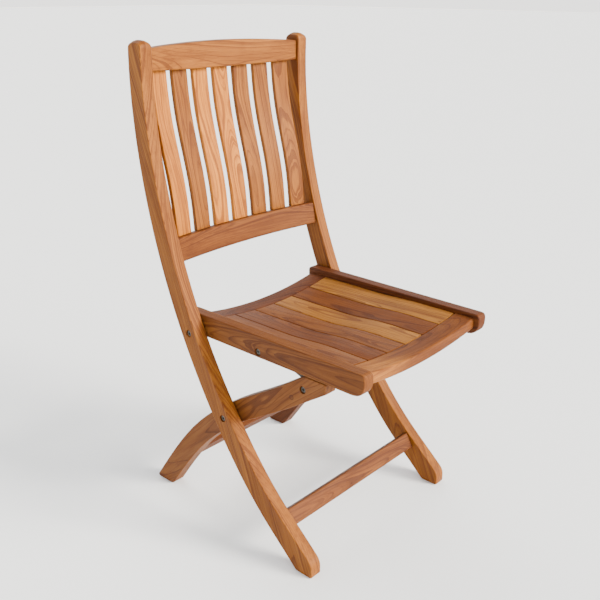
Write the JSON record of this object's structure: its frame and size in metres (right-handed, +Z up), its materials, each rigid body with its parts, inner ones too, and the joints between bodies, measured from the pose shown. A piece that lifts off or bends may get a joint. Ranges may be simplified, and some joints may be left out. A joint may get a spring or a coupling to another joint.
{
  "type": "folding chair",
  "caption": "Slatted teak folding chair with bent front posts, a curved slatted back, a dished slatted seat and back legs that fold with the seat.",
  "frame": {"origin": "middle of the bounding box on the floor, with the chair open", "axes": "+Z up, -Y towards the front of the seat, +Y towards the back legs, +X towards the sitter's left hand"},
  "size_m": [0.439, 0.5592, 0.925],
  "materials": {
    "teak": "oiled teak, satin, with brown and red-brown boards mixed",
    "steel": "dull plated steel"
  },
  "bodies": {
    "frame": {"post_right": "teak", "post_left": "teak", "crest_rail": "teak", "lower_back_rail": "teak", "back_slat_1": "teak", "back_slat_2": "teak", "back_slat_3": "teak", "back_slat_4": "teak", "back_slat_5": "teak", "back_slat_6": "teak", "back_slat_7": "teak", "front_stretcher": "teak", "seat_pivot_bolt_right": "steel", "seat_pivot_bolt_left": "steel", "leg_pivot_bolt_right": "steel", "leg_pivot_bolt_left": "steel", "seat_pivot_washer_right": "steel", "seat_pivot_washer_left": "steel", "leg_pivot_washer_right": "steel", "leg_pivot_washer_left": "steel"},
    "seat": {"seat_rail_right": "teak", "seat_rail_left": "teak", "seat_front_rail": "teak", "seat_rear_rail": "teak", "seat_slat_1": "teak", "seat_slat_2": "teak", "seat_slat_3": "teak", "seat_slat_4": "teak", "seat_slat_5": "teak", "seat_slat_6": "teak", "seat_batten": "teak", "seat_pivot_insert_right": "steel", "seat_pivot_insert_left": "steel", "link_bolt_right": "steel", "link_bolt_left": "steel", "link_spacer_right": "steel", "link_spacer_left": "steel", "link_nut_right": "steel", "link_nut_left": "steel"},
    "rear_legs": {"rear_leg_right": "teak", "rear_leg_left": "teak", "rear_cross_rail": "teak", "leg_pivot_nut_right": "steel", "leg_pivot_nut_left": "steel", "leg_top_bolt_right": "steel", "leg_top_bolt_left": "steel"},
    "links": {"link_right": "steel", "link_left": "steel", "link_rivet_right": "steel", "link_rivet_left": "steel"}
  },
  "joints": [
    {"name": "seat_fold", "type": "hinge", "parent": "frame", "child": "seat", "pos_m": [0, 0.1192, 0.3974], "axis": [-1, 0, 0], "range_deg": [0, 92]},
    {"name": "leg_fold", "type": "hinge", "parent": "frame", "child": "rear_legs", "pos_m": [0, 0.0307, 0.248], "axis": [-1, 0, 0], "range_deg": [0, 67]},
    {"name": "link_turn", "type": "hinge", "parent": "seat", "child": "links", "pos_m": [0, -0.0365, 0.3977], "axis": [1, 0, 0], "range_deg": [0, 131]}
  ],
  "couplings": [
    {"joint": "leg_fold", "follows": "seat_fold", "ratio": 0.7273},
    {"joint": "link_turn", "follows": "seat_fold", "ratio": 1.4229}
  ]
}
